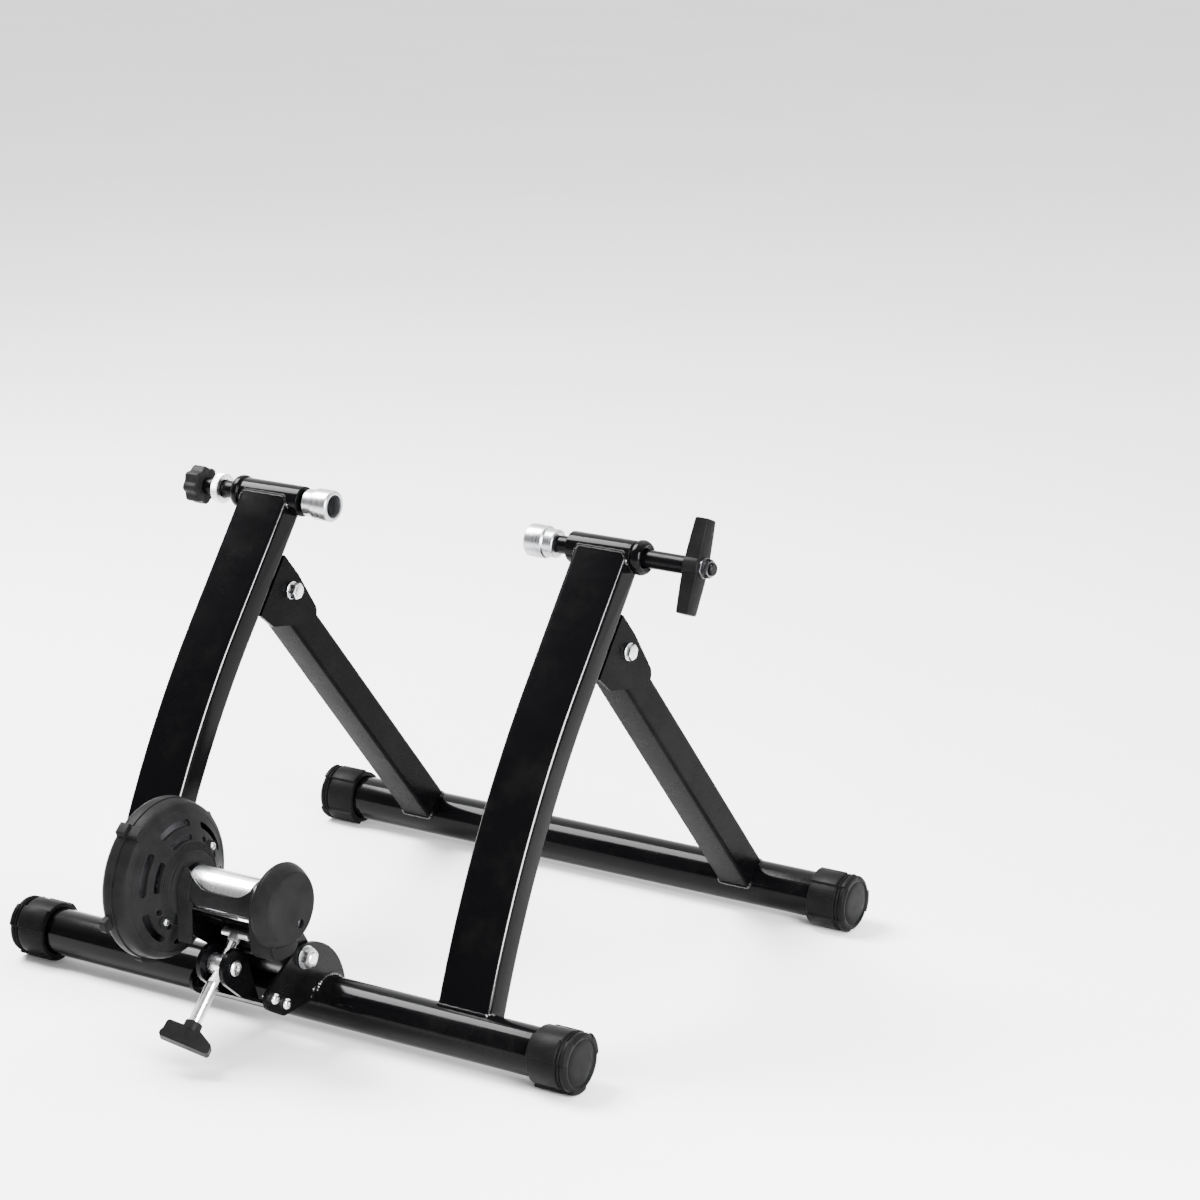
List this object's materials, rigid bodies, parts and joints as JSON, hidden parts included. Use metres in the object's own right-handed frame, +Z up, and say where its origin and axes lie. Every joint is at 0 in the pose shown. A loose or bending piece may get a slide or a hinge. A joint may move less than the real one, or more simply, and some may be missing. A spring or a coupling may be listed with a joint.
{
  "type": "folding bike trainer",
  "caption": "Folding A-frame stand that clamps a bicycle's rear axle and holds its tyre on a chrome roller with a magnetic brake, height set by a screw.",
  "frame": {"origin": "middle of the footprint's box, on the floor under the foot caps", "axes": "+Z up, +Y forward from the rear foot with the roller to the front foot, +X to the rider's right, the side of the T handle"},
  "size_m": [0.54, 0.58, 0.3929],
  "materials": {
    "gloss_black_paint": "gloss black powder coat",
    "satin_black_paint": "satin black paint",
    "grey_plastic": "moulded, fine texture, matte dark grey",
    "cap_plastic": "moulded, satin dark grey",
    "knob_plastic": "moulded, satin black",
    "handle_plastic": "moulded, semi-gloss black",
    "zinc_steel": "zinc plated",
    "cup_steel": "turned and zinc plated",
    "bearing_steel": "ground",
    "chrome": "polished chrome plate",
    "disc_aluminium": "turned",
    "flywheel_iron": "turned casting",
    "magnet_ferrite": "sintered, matte"
  },
  "bodies": {
    "rear_frame": {"rear_foot_tube": "gloss_black_paint", "rear_cap_right": "cap_plastic", "rear_cap_left": "cap_plastic", "upright_right": "gloss_black_paint", "upright_left": "gloss_black_paint", "hinge_bracket_right": "gloss_black_paint", "hinge_bracket_left": "gloss_black_paint", "clamp_barrel_right": "gloss_black_paint", "clamp_barrel_left": "gloss_black_paint", "clamp_collar_right": "gloss_black_paint", "clamp_collar_left": "gloss_black_paint", "hinge_bolt_right": "zinc_steel", "hinge_bolt_left": "zinc_steel", "hinge_nut_right": "zinc_steel", "hinge_nut_left": "zinc_steel", "brake_base": "satin_black_paint", "trunnion_bracket": "satin_black_paint", "bracket_bolt_right_rear": "zinc_steel", "bracket_bolt_left_rear": "zinc_steel", "bracket_bolt_right_front": "zinc_steel", "bracket_bolt_left_front": "zinc_steel", "pivot_bolt": "zinc_steel", "pivot_nut": "zinc_steel"},
    "front_frame": {"front_foot_tube": "gloss_black_paint", "front_cap_right": "cap_plastic", "front_cap_left": "cap_plastic", "leg_right": "gloss_black_paint", "leg_left": "gloss_black_paint", "hinge_sleeve_right": "zinc_steel", "hinge_sleeve_left": "zinc_steel"},
    "right_cup": {"clamp_cup_right": "cup_steel"},
    "right_spindle": {"clamp_spindle_right": "satin_black_paint", "clamp_handle": "handle_plastic", "handle_nut": "chrome"},
    "left_cup": {"clamp_cup_left": "cup_steel"},
    "left_spindle": {"clamp_spindle_left": "satin_black_paint", "clamp_knob_left": "knob_plastic", "lock_ring_left": "zinc_steel"},
    "brake_arm": {"swing_arm": "satin_black_paint", "shaft_bearing_right": "bearing_steel", "shaft_bearing_left": "bearing_steel", "housing_inner_shell": "grey_plastic", "housing_outer_shell": "grey_plastic", "housing_screw_rear": "zinc_steel", "housing_screw_front": "zinc_steel", "magnet_plate": "zinc_steel", "brake_magnet_ring": "magnet_ferrite", "roller_cover": "grey_plastic"},
    "rotor": {"roller": "chrome", "rotor_shaft": "bearing_steel", "brake_disc": "disc_aluminium", "flywheel": "flywheel_iron", "shaft_clip": "zinc_steel"},
    "adjuster_trunnion": {"trunnion": "zinc_steel"},
    "adjuster_push": {"push_bar": "zinc_steel"},
    "adjuster_screw": {"adjuster_rod": "chrome", "adjuster_knob": "knob_plastic"}
  },
  "joints": [
    {"name": "leg_fold", "type": "hinge", "parent": "rear_frame", "child": "front_frame", "pos_m": [0, 0.04155, 0.282], "axis": [-1, 0, 0], "range_deg": [0, 68.5]},
    {"name": "right_cup_slide", "type": "slide", "parent": "rear_frame", "child": "right_cup", "axis": [-1, 0, 0], "range_m": [-0.009, 0.028]},
    {"name": "right_handle_turn", "type": "hinge", "parent": "right_cup", "child": "right_spindle", "pos_m": [0, 0.05005, 0.356], "axis": [-1, 0, 0], "range_deg": [-812, 2522]},
    {"name": "left_cup_slide", "type": "slide", "parent": "rear_frame", "child": "left_cup", "axis": [1, 0, 0], "range_m": [-0.0026, 0.011]},
    {"name": "left_knob_turn", "type": "hinge", "parent": "left_cup", "child": "left_spindle", "pos_m": [0, 0.05005, 0.356], "axis": [1, 0, 0], "range_deg": [-236, 992]},
    {"name": "roller_swing", "type": "hinge", "parent": "rear_frame", "child": "brake_arm", "pos_m": [0, -0.17745, 0.069], "axis": [-1, 0, 0], "range_deg": [-8, 8]},
    {"name": "rotor_spin", "type": "hinge", "parent": "brake_arm", "child": "rotor", "pos_m": [0, -0.22065, 0.126], "axis": [1, 0, 0], "continuous": true},
    {"name": "trunnion_swivel", "type": "hinge", "parent": "rear_frame", "child": "adjuster_trunnion", "pos_m": [0, -0.23195, 0.0723], "axis": [1, 0, 0], "range_deg": [-3, 3]},
    {"name": "push_slide", "type": "slide", "parent": "adjuster_trunnion", "child": "adjuster_push", "axis": [0, 0.6947, 0.7193], "range_m": [-0.0057, 0.0057]},
    {"name": "knob_turn", "type": "hinge", "parent": "adjuster_push", "child": "adjuster_screw", "pos_m": [0, -0.23195, 0.0723], "axis": [0, 0.6947, 0.7193], "range_deg": [-1643.6, 1643.6]}
  ],
  "couplings": [
    {"joint": "right_handle_turn", "follows": "right_cup_slide", "rad_per_m": 1570.8},
    {"joint": "left_knob_turn", "follows": "left_cup_slide", "rad_per_m": 1570.8},
    {"joint": "knob_turn", "follows": "push_slide", "rad_per_m": 5026.5},
    {"joint": "roller_swing", "follows": "push_slide", "rad_per_m": 24.102},
    {"joint": "trunnion_swivel", "follows": "push_slide", "rad_per_m": 8.1706}
  ]
}
